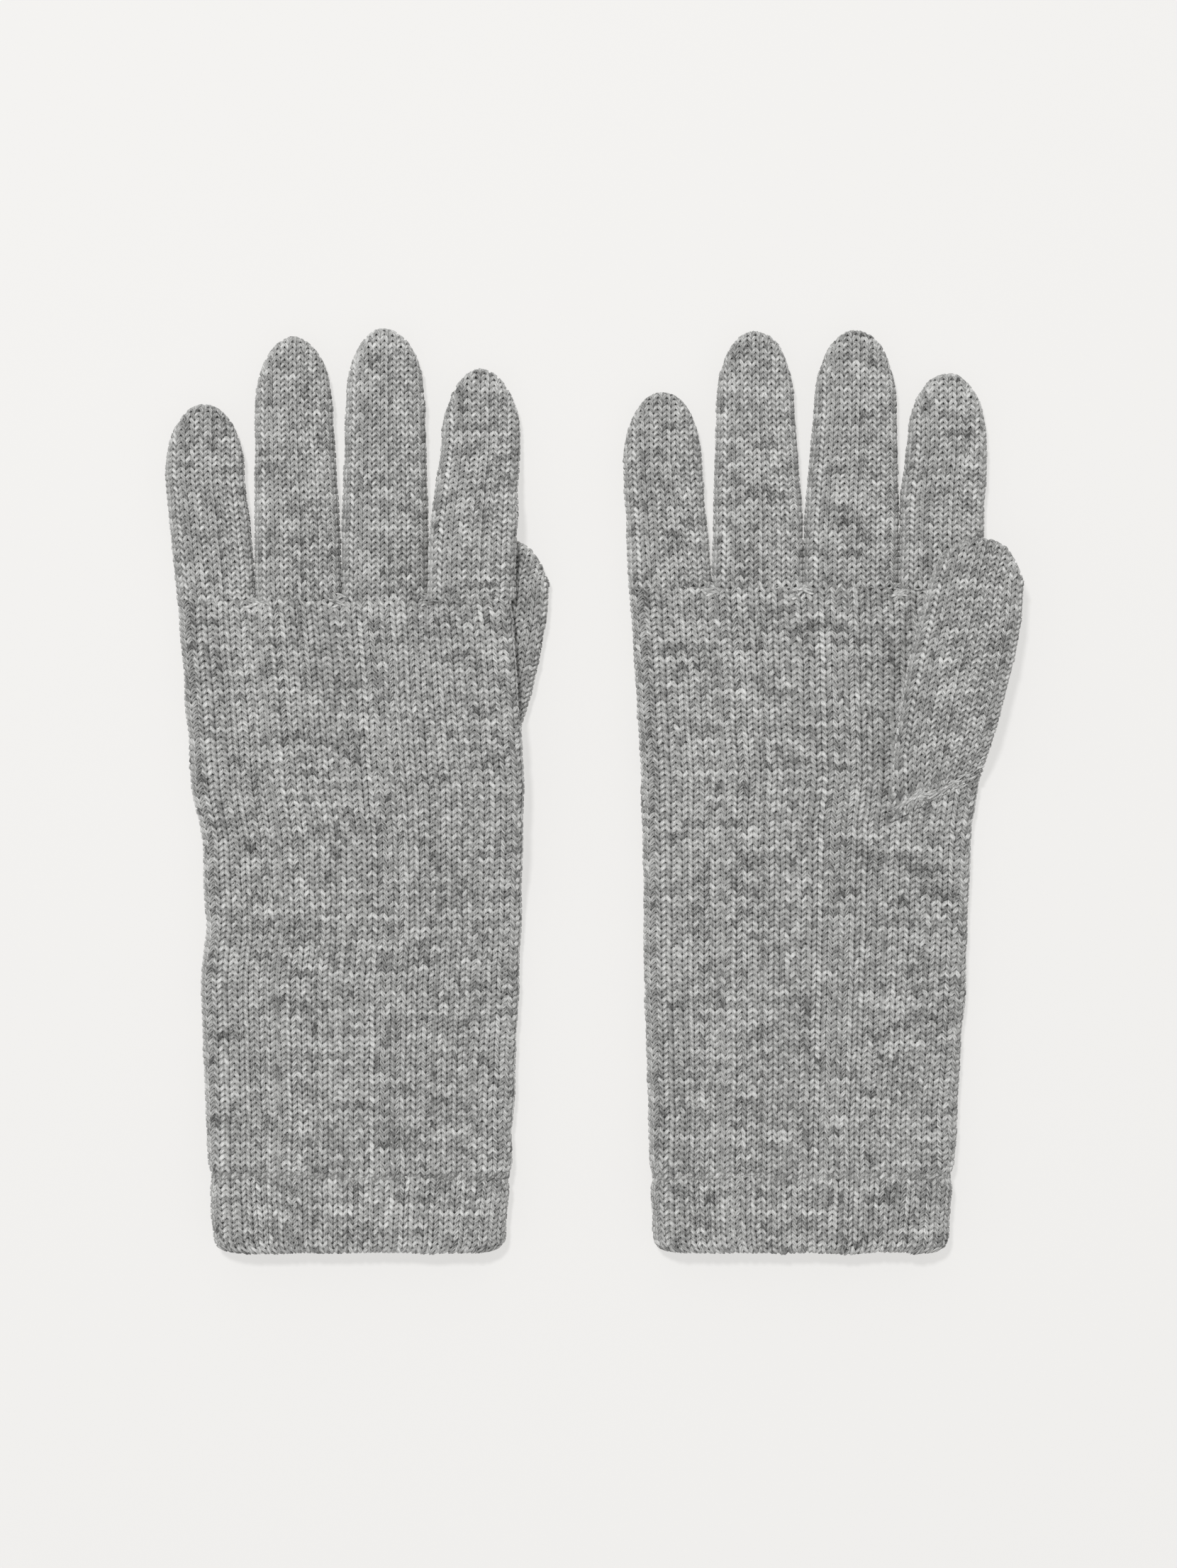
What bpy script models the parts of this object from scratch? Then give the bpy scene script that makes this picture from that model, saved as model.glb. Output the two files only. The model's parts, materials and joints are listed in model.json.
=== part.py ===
"""A pair of knitted gloves with long cuffs, laid flat side by side with the fingers towards +Y.

The right glove lies palm up with its thumb folded over the palm. The left glove lies palm down with its
thumb tucked under the hand, so the hand and the root of its index finger ride up over the thumb.
Each glove is a set of flattened fabric tubes, cut where the fabric folds: cuff, hand, four fingers in
three lengths and a thumb in two. A fold's axis lies on the palm-side face of the fabric, so that a
length swings towards the palm without meeting its neighbour. Units below are millimetres.
"""

import math
from dataclasses import dataclass

import bmesh
import bpy
from mathutils import Matrix, Vector

MM = 0.001
WALL = 2.1  # one layer of the knitted fabric
FACING_WALL = 1.6  # the hem's turned-in layer, pressed flatter
LAYER_GAP = 0.3  # between two layers that touch
FOLD_GAP = 1.2  # slit between two lengths that fold on each other
HAND_HEIGHT = 9.0  # flattened tube of the hand and fingers, two layers with slack between them
THUMB_HEIGHT = 8.7
HEM_HEIGHT = 12.6  # four layers with the mouth open
HEM_BOTTOM_Y = -130.6
HEM_CORNER = 5.0  # rounding of the hem's lower corners
LINKING_Y = -109.0  # the line where the hem is linked down
LINKING_WIDTH = 1.0
WRIST_Y = -55.0
INDEX_FOLD_Y = 72.8  # the index finger folds just past the tip of the folded thumb
THUMB_FOLD_Y = 36.0
THUMB_SEAM_GAP = 0.6
MIDDLE_FOLD = 0.36  # share of the finger past its root fold
TIP_FOLD = 0.68
TIP_ROUNDING = 0.9  # length of the rounded tip over the finger's width
LAST_TIP_ANGLE = math.radians(80)  # along the rounding, where a small blunt end closes the tip
ARC_STEPS = 4
YARN_COLOUR = (0.30, 0.30, 0.29, 1.0)
HEM_COLOUR = (0.28, 0.28, 0.27, 1.0)
THREAD_COLOUR = (0.20, 0.20, 0.20, 1.0)
YARN_ROUGHNESS = 0.95


@dataclass(frozen=True)
class Finger:
    """A finger's side edges (left x, right x) at its root and where its tip starts to round."""

    name: str
    root: tuple
    shoulder: tuple
    tip_y: float


@dataclass(frozen=True)
class Glove:
    """One glove: its side edges as (y, x) points from the hem up, its fingers and its thumb."""

    side: str
    palm_up: bool
    crotch_y: float
    left_edge: tuple
    right_edge: tuple
    fingers: tuple
    thumb_shift: float


# The thumb's left and right edge points from the base seam to the tip, on the right glove.
THUMB_LOWER = (
    ((83.3, -9.6), (109.9, 4.4)),
    ((83.7, 8.0), (112.6, 14.5)),
    ((85.3, 21.5), (115.6, 25.0)),
    ((88.2, THUMB_FOLD_Y), (118.3, THUMB_FOLD_Y)),
)
THUMB_TIP = (
    ((88.2, THUMB_FOLD_Y), (118.3, THUMB_FOLD_Y)),
    ((91.3, 49.0), (120.7, 48.0)),
    ((94.2, 59.5), (121.0, 58.5)),
    ((96.6, 64.4), (118.8, 64.4)),
    ((100.4, 68.2), (116.0, 68.2)),
    ((105.2, 70.4), (112.6, 70.4)),
)
THUMB_SHOULDER_SECTIONS = 3  # sections of THUMB_TIP at full height, before its rounding

RIGHT = Glove(
    side="right",
    palm_up=True,
    crotch_y=57.0,
    left_edge=((HEM_BOTTOM_Y, 17.0), (-110.0, 16.0), (-78.0, 15.0), (WRIST_Y, 14.4), (0.0, 13.7), (57.0, 10.2)),
    right_edge=((HEM_BOTTOM_Y, 100.4), (-110.0, 101.8), (-78.0, 104.4), (WRIST_Y, 105.6), (-10.0, 107.4),
                (4.0, 109.8), (57.0, 110.2)),
    fingers=(
        Finger("pinky", (10.2, 33.3), (8.5, 30.9), 112.6),
        Finger("ring", (33.9, 59.3), (34.8, 57.1), 129.8),
        Finger("middle", (59.9, 86.3), (62.4, 86.1), 130.1),
        Finger("index", (86.9, 110.2), (88.3, 112.1), 118.0),
    ),
    thumb_shift=0.0,
)
LEFT = Glove(
    side="left",
    palm_up=False,
    crotch_y=53.6,
    left_edge=((HEM_BOTTOM_Y, -106.8), (-110.0, -108.3), (-78.0, -110.2), (WRIST_Y, -110.9), (0.0, -113.3),
               (53.6, -117.3)),
    right_edge=((HEM_BOTTOM_Y, -24.8), (-110.0, -22.8), (-78.0, -21.2), (WRIST_Y, -20.4), (0.0, -18.6),
                (24.0, -22.2), (53.6, -22.2)),
    fingers=(
        Finger("pinky", (-117.3, -95.5), (-121.1, -98.0), 109.3),
        Finger("ring", (-94.9, -71.2), (-95.5, -73.2), 128.2),
        Finger("middle", (-70.6, -46.3), (-69.8, -47.2), 130.6),
        Finger("index", (-45.7, -21.6), (-42.8, -19.7), 119.0),
    ),
    thumb_shift=-133.0,
)


def between(points, y):
    """x at y on an edge given as (y, x) points."""
    for (y0, x0), (y1, x1) in zip(points, points[1:]):
        if y <= y1:
            return x0 + (x1 - x0) * max(0.0, (y - y0) / (y1 - y0))
    return points[-1][1]


def smooth(t):
    """0 below 0, 1 above 1, and a smooth step between them."""
    t = min(max(t, 0.0), 1.0)
    return t * t * (3 - 2 * t)


def ride_over_thumb(x, y):
    """How far the left hand's fabric is lifted at (x, y) by the thumb under it."""
    edge_points = [(left[1], left[0] + LEFT.thumb_shift) for left, _ in THUMB_LOWER + THUMB_TIP[1:]]
    flat_from = between(edge_points, y) - 1.2
    slope_width = 26.0 - 21.0 * smooth((y - 10.0) / (LEFT.crotch_y - 10.0))
    across = smooth((x - flat_from + slope_width) / slope_width)
    along = smooth((y + 40.0) / 26.0) * (1 - smooth((y - INDEX_FOLD_Y - 1.0) / 27.0))
    return (THUMB_HEIGHT + LAYER_GAP) * across * along


def no_lift(x, y):
    """The fabric lies flat."""
    return 0.0


def section(left, right, low, height, lift, flat_steps):
    """A flattened ring of fabric that stands over the line from left to right: flat faces and round edges."""
    left, right = Vector(left), Vector(right)
    width = (right - left).length
    radius = min(height / 2, 0.42 * width)
    share = radius / width
    profile = []
    for step in range(ARC_STEPS + 1):
        angle = math.pi * (step / ARC_STEPS - 0.5)
        profile.append((1 - share + share * math.cos(angle), 0.5 + 0.5 * math.sin(angle)))
    for step in range(1, flat_steps):
        profile.append((1 - share - (1 - 2 * share) * step / flat_steps, 1.0))
    profile += [(1 - across, 1 - up) for across, up in profile]
    ring = []
    for across, up in profile:
        point = left.lerp(right, across)
        ring.append(Vector((point.x, point.y, low + height * up + lift(point.x, point.y))))
    return ring


def add_tube(name, rings, wall, colour, closed_tip, collection, lining=()):
    """An open fabric tube through the rings. Its inner face is the lining's rings, or else Solidify makes it."""
    mesh = bpy.data.meshes.new(name)
    bm = bmesh.new()
    loops = [[bm.verts.new(point * MM) for point in ring] for ring in [*reversed(lining), *rings]]
    count = len(rings[0])
    for lower, upper in zip(loops, loops[1:]):
        for i in range(count):
            j = (i + 1) % count
            bm.faces.new((lower[i], upper[i], upper[j], lower[j]))
    if closed_tip:
        bm.faces.new(loops[-1][::-1])
    if lining:
        bm.faces.new(loops[0])
    bm.normal_update()
    bm.to_mesh(mesh)
    bm.free()
    tube = bpy.data.objects.new(name, mesh)
    collection.objects.link(tube)
    if not lining:
        solidify = tube.modifiers.new("fabric", "SOLIDIFY")
        solidify.thickness = wall * MM
        solidify.offset = -1
        solidify.use_even_offset = True
        solidify.use_rim = True
    mesh.materials.append(yarn_material(name, colour))
    mesh.shade_smooth()
    mesh.set_sharp_from_angle(angle=math.radians(50))
    return tube


def yarn_material(name, colour):
    """A matt knitted wool, one material for each piece."""
    material = bpy.data.materials.new(name + "_wool")
    material.use_nodes = True
    shader = material.node_tree.nodes["Principled BSDF"]
    shader.inputs["Base Color"].default_value = colour
    shader.inputs["Roughness"].default_value = YARN_ROUGHNESS
    shader.inputs["Metallic"].default_value = 0.0
    return material


def add_pivot(name, point, parent, collection):
    """An empty on a fold's axis, which the pieces that fold there hang from."""
    pivot = bpy.data.objects.new(name, None)
    collection.objects.link(pivot)
    pivot.parent = parent
    pivot.location = Vector(point) * MM - (world_place(parent) if parent else Vector())
    return pivot


def world_place(pivot):
    """The pivot's place in the pair's frame; pivots are never turned."""
    place = Vector(pivot.location)
    while pivot.parent:
        pivot = pivot.parent
        place += pivot.location
    return place


def hang(piece, pivot):
    """Gives a piece the pivot's place as its origin, leaving its shape where it is."""
    piece.data.transform(Matrix.Translation(-world_place(pivot)))
    piece.parent = pivot


class GloveBuilder:
    """Makes one glove's pieces, each hanging from the pivot of the fold that moves it."""

    def __init__(self, glove, collection):
        self.glove = glove
        self.collection = collection
        self.lift = no_lift if glove.palm_up else ride_over_thumb
        self.palm_z = HAND_HEIGHT if glove.palm_up else 0.0
        middle_x = (between(glove.left_edge, 0.0) + between(glove.right_edge, 0.0)) / 2
        self.hand_pivot = self.pivot("hand_pivot", (middle_x, 0.0, self.palm_z), None)

    def pivot(self, name, point, parent):
        return add_pivot(f"{self.glove.side}_{name}", point, parent, self.collection)

    def tube(self, name, rings, pivot, wall=WALL, colour=YARN_COLOUR, closed_tip=False, lining=()):
        piece = add_tube(f"{self.glove.side}_{name}", rings, wall, colour, closed_tip, self.collection, lining)
        hang(piece, pivot)

    def body_section(self, y, height=HAND_HEIGHT, inset=0.0, flat_steps=3):
        """A section of the hand or cuff at y, drawn in by inset all round."""
        left = (between(self.glove.left_edge, y) + inset, y)
        right = (between(self.glove.right_edge, y) - inset, y)
        return section(left, right, inset, height - 2 * inset, self.lift, flat_steps)

    def build_hand(self):
        """The hand tube, from the wrist fold to the roots of the fingers, with sections at its bends."""
        top = self.glove.crotch_y
        stations = [WRIST_Y + FOLD_GAP / 2, -40.0, -27.0, -14.0, 0.0, 12.0, 24.0, 34.0, 44.0, top]
        if self.glove.palm_up:
            stations = [WRIST_Y + FOLD_GAP / 2, -10.0, 4.0, top]
        rings = [self.body_section(y, flat_steps=3 if self.glove.palm_up else 16) for y in stations]
        self.tube("hand", rings, self.hand_pivot)

    def build_cuff(self):
        """The gauntlet with its folded hem: outer band, turned-in facing and the linking thread."""
        pivot = self.pivot("wrist_pivot", (self.hand_pivot.location.x / MM, WRIST_Y, self.palm_z), self.hand_pivot)
        thread_top = LINKING_Y + LINKING_WIDTH / 2
        thread_bottom = LINKING_Y - LINKING_WIDTH / 2
        gauntlet_end = thread_top + LAYER_GAP
        swell = HAND_HEIGHT + (HEM_HEIGHT - HAND_HEIGHT) * 0.85
        rings = [
            self.body_section(gauntlet_end, swell),
            self.body_section(gauntlet_end + 2.0, swell),
            self.body_section(gauntlet_end + 16.0),
            self.body_section(WRIST_Y - FOLD_GAP / 2),
        ]
        self.tube("gauntlet", rings, pivot)

        sunk = 0.5  # the linking thread pulls the fabric in
        rings = [self.body_section(y, swell, sunk) for y in (thread_bottom, thread_top)]
        self.tube("hem_linking_thread", rings, pivot, wall=WALL - sunk, colour=THREAD_COLOUR)

        rings = []
        for angle in (0, 35, 65, 90):
            inset = HEM_CORNER * (1 - math.sin(math.radians(angle)))
            y = HEM_BOTTOM_Y + HEM_CORNER * (1 - math.cos(math.radians(angle)))
            left = (between(self.glove.left_edge, y) + inset, y)
            right = (between(self.glove.right_edge, y) - inset, y)
            rings.append(section(left, right, 0.0, HEM_HEIGHT, self.lift, 3))
        rings.append(self.body_section(thread_bottom - LAYER_GAP, HEM_HEIGHT))
        self.tube("hem_band", rings, pivot, colour=HEM_COLOUR)

        inset = WALL + LAYER_GAP
        rings = [
            self.body_section(HEM_BOTTOM_Y + HEM_CORNER, HEM_HEIGHT, inset),
            self.body_section(thread_bottom - LAYER_GAP, HEM_HEIGHT, inset),
        ]
        self.tube("hem_facing", rings, pivot, wall=FACING_WALL, colour=HEM_COLOUR)

    def finger_section(self, finger, y, inset=0.0, flat_steps=2):
        """A section of a finger at y, drawn in by inset. The tip is an ellipse from above, flatter from the side."""
        shoulder_y, rounding = self.tip_rounding(finger, inset)
        run = min(1.0, (y - self.glove.crotch_y) / (shoulder_y - self.glove.crotch_y))
        left, right = (finger.root[i] + (finger.shoulder[i] - finger.root[i]) * run for i in (0, 1))
        sine = max(0.0, (y - shoulder_y) / rounding) * math.sin(LAST_TIP_ANGLE)
        middle, half = (left + right) / 2, ((right - left) / 2 - inset) * math.sqrt(1 - sine**2)
        height = (HAND_HEIGHT - 2 * inset) * math.sqrt(1 - (0.8 * sine) ** 4)
        low = (HAND_HEIGHT - height) / 2 + self.finger_lift(finger, y)
        return section((middle - half, y), (middle + half, y), low, height, no_lift, flat_steps)

    def finger_lift(self, finger, y):
        """Only the index finger crosses the thumb, and it is lifted there as a whole."""
        return self.lift(finger.root[1], y) if finger.name == "index" else 0.0

    def fold_height(self, finger, y):
        """z of the palm-side face at a finger's fold."""
        return HAND_HEIGHT if self.glove.palm_up else self.finger_lift(finger, y)

    def build_finger(self, finger):
        """Three lengths of a finger, the last with a rounded, closed tip."""
        root_y = self.glove.crotch_y + FOLD_GAP / 2
        pivot_y = root_y
        if finger.name == "index":
            pivot_y = INDEX_FOLD_Y
            rings = [self.finger_section(finger, y) for y in (root_y + FOLD_GAP / 2, pivot_y - FOLD_GAP / 2)]
            self.tube("index_root", rings, self.hand_pivot)
        folds = [pivot_y] + [pivot_y + (finger.tip_y - pivot_y) * share for share in (MIDDLE_FOLD, TIP_FOLD)]
        middle_x = (finger.root[0] + finger.root[1]) / 2
        parent = self.hand_pivot
        for length, start, end in zip(("lower", "mid", "tip"), folds, folds[1:] + [finger.tip_y]):
            name = f"{finger.name}_{length}"
            parent = self.pivot(name + "_pivot", (middle_x, start, self.fold_height(finger, start)), parent)
            first, last = start + FOLD_GAP / 2, end - FOLD_GAP / 2
            if length == "tip":
                rings, lining = self.tip_rings(finger, first), self.tip_rings(finger, first, WALL)
                self.tube(name, rings, parent, closed_tip=True, lining=lining)
            else:
                rings = [self.finger_section(finger, first + (last - first) * t) for t in (0.0, 0.5, 1.0)]
                self.tube(name, rings, parent)

    def tip_rounding(self, finger, inset):
        """y where a finger's tip starts to round, and the length of the rounding, drawn in by inset."""
        rounding = TIP_ROUNDING * (finger.shoulder[1] - finger.shoulder[0])
        return finger.tip_y - rounding, rounding - inset

    def tip_rings(self, finger, first, inset=0.0):
        """The sections of the tip length from its first one to its blunt end."""
        shoulder_y, rounding = self.tip_rounding(finger, inset)
        start = math.asin(max(0.0, (first - shoulder_y) / rounding) * math.sin(LAST_TIP_ANGLE))
        angles = [start + (LAST_TIP_ANGLE - start) * share for share in (0.0, 0.3, 0.52, 0.72, 0.87, 1.0)]
        stations = [shoulder_y + rounding * math.sin(a) / math.sin(LAST_TIP_ANGLE) for a in angles]
        return [self.finger_section(finger, y, inset) for y in [first] + [y for y in stations if y > first + 1.0]]

    def build_thumb(self):
        """Two lengths of the thumb: over the palm on the right glove, under it on the left."""
        low = HAND_HEIGHT + LAYER_GAP if self.glove.palm_up else 0.0
        hinge_z = low - LAYER_GAP / 2 if self.glove.palm_up else THUMB_HEIGHT + LAYER_GAP / 2
        shift = Vector((self.glove.thumb_shift, 0.0))
        seam_left, seam_right = (Vector(p) + shift for p in THUMB_LOWER[0])
        seam = (seam_right - seam_left).normalized()
        off_seam = Vector((-seam.y, seam.x)) * THUMB_SEAM_GAP
        seam_middle = (seam_left + seam_right) / 2
        lower_pivot = self.pivot("thumb_lower_pivot", (*seam_middle, hinge_z), self.hand_pivot)
        tip_x = (THUMB_TIP[0][0][0] + THUMB_TIP[0][1][0]) / 2 + self.glove.thumb_shift
        tip_pivot = self.pivot("thumb_tip_pivot", (tip_x, THUMB_FOLD_Y, hinge_z), lower_pivot)

        rings = []
        for i, (left, right) in enumerate(THUMB_LOWER):
            move = shift.copy()
            if i == 0:
                move += off_seam
            if i == len(THUMB_LOWER) - 1:
                move.y -= FOLD_GAP / 2
            rings.append(section(Vector(left) + move, Vector(right) + move, low, THUMB_HEIGHT, no_lift, 2))
        self.tube("thumb_lower", rings, lower_pivot)

        rings = []
        for i, (left, right) in enumerate(THUMB_TIP):
            move = shift.copy()
            if i == 0:
                move.y += FOLD_GAP / 2
            rounded = max(0, i - THUMB_SHOULDER_SECTIONS + 1)
            height = THUMB_HEIGHT * (1 - 0.03 * rounded**2)
            rings.append(section(Vector(left) + move, Vector(right) + move, low + (THUMB_HEIGHT - height) / 2,
                                 height, no_lift, 2))
        self.tube("thumb_tip", rings, tip_pivot, closed_tip=True)

    def build(self):
        """Makes the whole glove."""
        self.build_hand()
        self.build_cuff()
        for finger in self.glove.fingers:
            self.build_finger(finger)
        self.build_thumb()


def clear_scene():
    """Removes whatever the file opened with."""
    for thing in list(bpy.data.objects):
        bpy.data.objects.remove(thing)


def main():
    """Builds both gloves into one collection."""
    clear_scene()
    collection = bpy.data.collections.new("knitted_gloves")
    bpy.context.scene.collection.children.link(collection)
    for glove in (RIGHT, LEFT):
        GloveBuilder(glove, collection).build()


main()
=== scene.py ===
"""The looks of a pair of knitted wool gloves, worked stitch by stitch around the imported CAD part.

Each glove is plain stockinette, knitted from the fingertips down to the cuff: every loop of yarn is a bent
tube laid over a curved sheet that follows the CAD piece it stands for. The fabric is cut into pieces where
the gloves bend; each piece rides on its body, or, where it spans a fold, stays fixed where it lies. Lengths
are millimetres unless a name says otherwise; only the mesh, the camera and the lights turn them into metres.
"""

import json
import logging
import math
from collections.abc import Callable
from dataclasses import dataclass
from enum import Enum

import bpy
import numpy as np
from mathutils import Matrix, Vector


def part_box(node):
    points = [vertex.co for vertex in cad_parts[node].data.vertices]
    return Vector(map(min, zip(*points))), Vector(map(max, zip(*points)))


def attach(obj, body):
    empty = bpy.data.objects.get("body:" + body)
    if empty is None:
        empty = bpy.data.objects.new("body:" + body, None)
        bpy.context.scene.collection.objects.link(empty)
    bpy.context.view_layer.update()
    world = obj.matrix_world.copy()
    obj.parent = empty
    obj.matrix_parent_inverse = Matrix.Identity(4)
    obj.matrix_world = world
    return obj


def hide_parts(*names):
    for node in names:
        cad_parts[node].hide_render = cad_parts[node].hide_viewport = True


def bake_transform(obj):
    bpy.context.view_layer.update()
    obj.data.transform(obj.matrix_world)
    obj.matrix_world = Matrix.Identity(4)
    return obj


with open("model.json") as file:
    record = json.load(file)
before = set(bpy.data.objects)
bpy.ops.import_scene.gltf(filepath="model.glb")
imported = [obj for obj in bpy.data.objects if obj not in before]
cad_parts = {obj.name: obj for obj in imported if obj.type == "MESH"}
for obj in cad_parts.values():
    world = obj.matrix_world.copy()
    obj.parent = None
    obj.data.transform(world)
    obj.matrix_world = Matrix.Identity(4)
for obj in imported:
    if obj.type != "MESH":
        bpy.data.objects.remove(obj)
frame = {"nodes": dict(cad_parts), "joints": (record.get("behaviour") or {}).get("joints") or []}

MM = 0.001
LOG = logging.getLogger("knitted_gloves")
Points = np.ndarray
Profile = Callable[[Points], Points]  # a value along the fabric
Lift = Callable[[Points, Points], Points]  # a height at (x, y)


class Side(Enum):
    """Which hand a glove is for."""

    RIGHT = "right"
    LEFT = "left"


class Slot(Enum):
    """The record's material slots."""

    WOOL = "wool_knit"
    HEM = "hem_knit"
    THREAD = "linking_thread"


def smooth(t: Points) -> Points:
    """0 below 0, 1 above 1, and a smooth step between them."""
    t = np.clip(t, 0.0, 1.0)
    return t * t * (3 - 2 * t)


def bump(distance: Points, width: float) -> Points:
    """A bell of height 1 at distance 0."""
    return np.exp(-((distance / width) ** 2))


class Waves:
    """Smooth unevenness of hand-blocked fabric: a sum of a few long ripples, between about -1 and 1."""

    def __init__(self, seed: int, shortest: float = 9.0, longest: float = 45.0, count: int = 9) -> None:
        """Draws the ripples' directions, lengths and phases.

        Args:
            seed: Seed of the draw.
            shortest: Shortest ripple in mm.
            longest: Longest ripple in mm.
            count: How many ripples are summed.
        """
        rng = np.random.default_rng(seed)
        lengths = np.geomspace(shortest, longest, count)
        turns = rng.uniform(0, 2 * math.pi, count)
        self.kx = 2 * math.pi / lengths * np.cos(turns)
        self.ky = 2 * math.pi / lengths * np.sin(turns)
        self.phase = rng.uniform(0, 2 * math.pi, count)
        self.weight = np.sqrt(lengths)
        self.weight /= np.sqrt((self.weight**2).sum()) * 1.2

    def __call__(self, x: Points, y: Points) -> Points:
        """The ripples' height at (x, y)."""
        total = np.zeros(np.broadcast(x, y).shape)
        for kx, ky, phase, weight in zip(self.kx, self.ky, self.phase, self.weight):
            total += weight * np.sin(kx * x + ky * y + phase)
        return total


# ---------------------------------------------------------------------------------------------- the CAD part


class Sections:
    """The side edges and height of tube-like CAD nodes along Y, read from their vertices."""

    SAME_SECTION = 1.4  # vertices closer than this along Y belong to one section
    NOTCH = 1.8  # a section this much narrower than its neighbours holds inner vertices only

    def __init__(self, *nodes: str) -> None:
        """Reads the sections of the named CAD nodes.

        Args:
            nodes: Names of CAD nodes that follow each other along Y.
        """
        rows = []
        for node in nodes:
            points = np.array([v.co for v in frame["nodes"][node].data.vertices]) / MM
            points = points[np.argsort(points[:, 1])]
            cuts = np.where(np.diff(points[:, 1]) > self.SAME_SECTION)[0] + 1
            for group in np.split(points, cuts):
                leftmost = group[group[:, 0].argmin()]
                rows.append((leftmost[1], leftmost[0], group[:, 0].max(), group[:, 2].max()))
        rows = np.array(sorted(rows))
        while len(rows) > 2:
            before, here, after = rows[:-2], rows[1:-1], rows[2:]
            share = (here[:, :1] - before[:, :1]) / (after[:, :1] - before[:, :1])
            chord = before + (after - before) * share
            notch = np.maximum(here[:, 1] - chord[:, 1], chord[:, 2] - here[:, 2])
            if notch.max() < self.NOTCH:
                break
            rows = np.delete(rows, notch.argmax() + 1, 0)
        self.y, self.left, self.right, self.top = rows.T

    def edges(self, y: Points) -> tuple[Points, Points]:
        """Left and right edge at y."""
        return np.interp(y, self.y, self.left), np.interp(y, self.y, self.right)

    def height(self, y: Points) -> Points:
        """Height of the top at y."""
        return np.interp(y, self.y, self.top)


def fold_point(joint: str) -> Points:
    """A point on a joint's axis, in mm."""
    return next(np.array(j["pos_m"]) / MM for j in frame["joints"] if j["name"] == joint)


# -------------------------------------------------------------------------------------------- fabric surfaces

LAYER_GAP = 0.3  # between two layers of fabric that touch
REST_INSET = 1.05  # from the outer face of one fabric layer to its middle
UNROLLED = math.pi / 2 - 1  # how much longer a rolled edge is laid flat, over its radius


@dataclass(frozen=True)
class ThumbShape:
    """The thumb's outline in the right glove's palm, relative to the middle of its base seam."""

    left: tuple = ((-13.3, -7.0), (-12.9, 10.6), (-11.3, 24.1), (-8.4, 38.6), (-5.3, 51.6), (-2.4, 62.1))
    right: tuple = ((13.3, 7.0), (16.0, 17.1), (19.0, 27.6), (21.7, 38.6), (24.1, 50.6), (24.4, 61.1))
    tip: tuple = ((0.0, 67.0), (3.8, 70.8), (8.6, 73.0), (12.3, 73.6), (16.0, 73.0), (19.4, 70.8),
                  (22.2, 67.0))
    run_on: tuple = (3.6, 13.0)  # the wales run straight on past the last edge points by this much
    wales: int = 12
    height: float = 8.7


@dataclass(frozen=True)
class ThumbLift:
    """How the left hand rides up over the thumb tucked under it, as in the CAD."""

    shape: ThumbShape
    seam_middle: tuple
    height: float
    crotch_y: float
    index_fold_y: float

    def __call__(self, x: Points, y: Points) -> Points:
        """The fabric's lift at (x, y)."""
        rail = np.array(self.shape.left + self.shape.tip[:3]) + self.seam_middle
        flat_from = np.interp(y, rail[:, 1], rail[:, 0]) - 1.2
        slope_width = 26.0 - 21.0 * smooth((y - 10.0) / (self.crotch_y - 10.0))
        across = smooth((x - flat_from + slope_width) / slope_width)
        along = smooth((y + 40.0) / 26.0) * (1 - smooth((y - self.index_fold_y - 1.0) / 27.0))
        return self.height * across * along


def no_lift(x: Points, y: Points) -> Points:
    """The fabric lies flat."""
    return np.zeros(np.broadcast(x, y).shape)


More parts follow.
